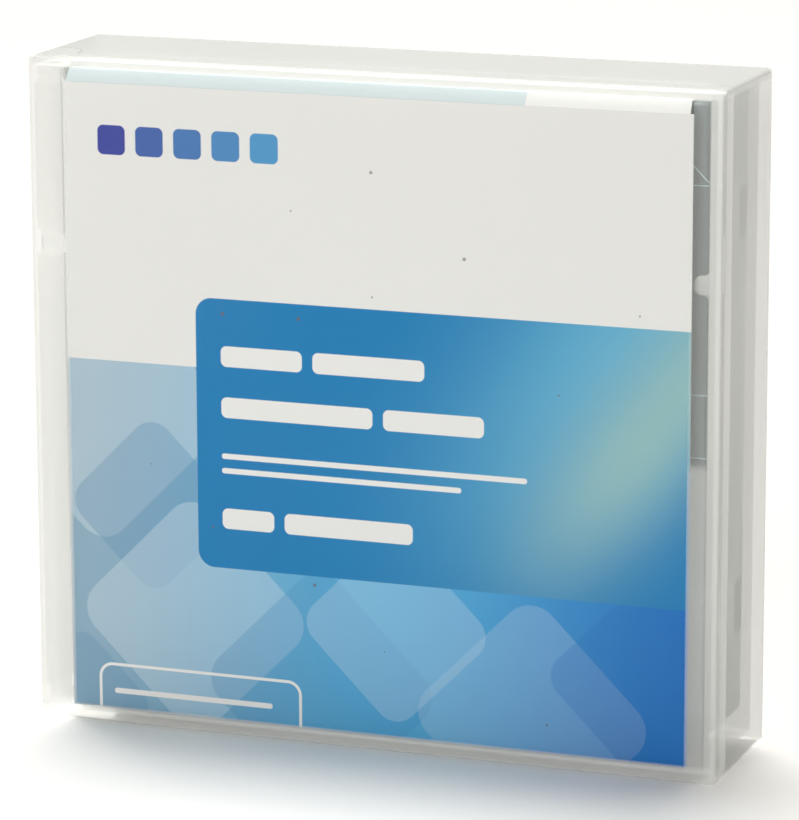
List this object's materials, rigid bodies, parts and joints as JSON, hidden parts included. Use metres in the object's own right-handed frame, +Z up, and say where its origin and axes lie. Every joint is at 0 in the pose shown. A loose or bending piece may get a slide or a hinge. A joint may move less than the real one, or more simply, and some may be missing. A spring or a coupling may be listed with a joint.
{
  "type": "tape cleaning cartridge in a hinged storage case",
  "caption": "Square cleaning tape cartridge held in a milky hinged storage case, with a blue and white printed card behind the lid.",
  "frame": {"origin": "middle of the case's footprint, at the level it stands on", "axes": "+Z up, -Y out of the lid with the printed card, +X to the case's right side, away from the hinge"},
  "size_m": [0.1162, 0.027, 0.11],
  "materials": {
    "milky_plastic": "translucent polypropylene with a light gloss",
    "printed_card": "smooth printed card",
    "shell_plastic": "fine satin texture",
    "inner_plastic": "smooth moulded",
    "dark_plastic": "smooth moulded",
    "switch_plastic": "smooth moulded",
    "cleaning_tape": "wound film, satin",
    "spring_steel": "bright wire and strip",
    "turned_steel": "turned",
    "circuit_board": "lacquered board"
  },
  "bodies": {
    "case": {"case_base": "milky_plastic", "upper_shell": "shell_plastic", "lower_shell": "shell_plastic", "shell_screws": "turned_steel", "leader_pin": "turned_steel", "leader_pin_clip": "dark_plastic", "leader_pin_spring": "spring_steel", "leader_tape": "cleaning_tape", "memory_module": "circuit_board", "door_spring": "spring_steel", "brake_spring": "spring_steel"},
    "lid": {"case_lid": "milky_plastic", "inlay_card": "printed_card"},
    "door": {"cartridge_door": "shell_plastic"},
    "switch": {"write_protect_switch": "switch_plastic"},
    "reel": {"reel_hub": "inner_plastic", "reel_flange": "inner_plastic", "reel_disc": "turned_steel", "tape_pack": "cleaning_tape"},
    "brake": {"brake_button": "dark_plastic"},
    "release": {"release_plate": "inner_plastic"}
  },
  "joints": [
    {"name": "lid_hinge", "type": "hinge", "parent": "case", "child": "lid", "pos_m": [-0.0559, -0.0075, 0.055], "axis": [0, 0, -1], "range_deg": [0, 115]},
    {"name": "door_slide", "type": "slide", "parent": "case", "child": "door", "axis": [-1, 0, 0], "range_m": [0, 0.0156], "stiffness_N_per_m": 15, "springref_m": -0.006, "deforming": ["door_spring"]},
    {"name": "switch_slide", "type": "slide", "parent": "case", "child": "switch", "axis": [0, 0, 1], "range_m": [0, 0.004]},
    {"name": "reel_spin", "type": "hinge", "parent": "case", "child": "reel", "pos_m": [0.00395, 0, 0.0548], "axis": [0, -1, 0], "continuous": true},
    {"name": "brake_lift", "type": "slide", "parent": "case", "child": "brake", "axis": [0, -1, 0], "range_m": [0, 0.002], "stiffness_N_per_m": 300, "springref_m": -0.003, "deforming": ["brake_spring"]},
    {"name": "release_lift", "type": "slide", "parent": "reel", "child": "release", "axis": [0, -1, 0], "range_m": [0, 0.002]}
  ],
  "couplings": [
    {"joint": "release_lift", "follows": "brake_lift", "ratio": 1}
  ]
}
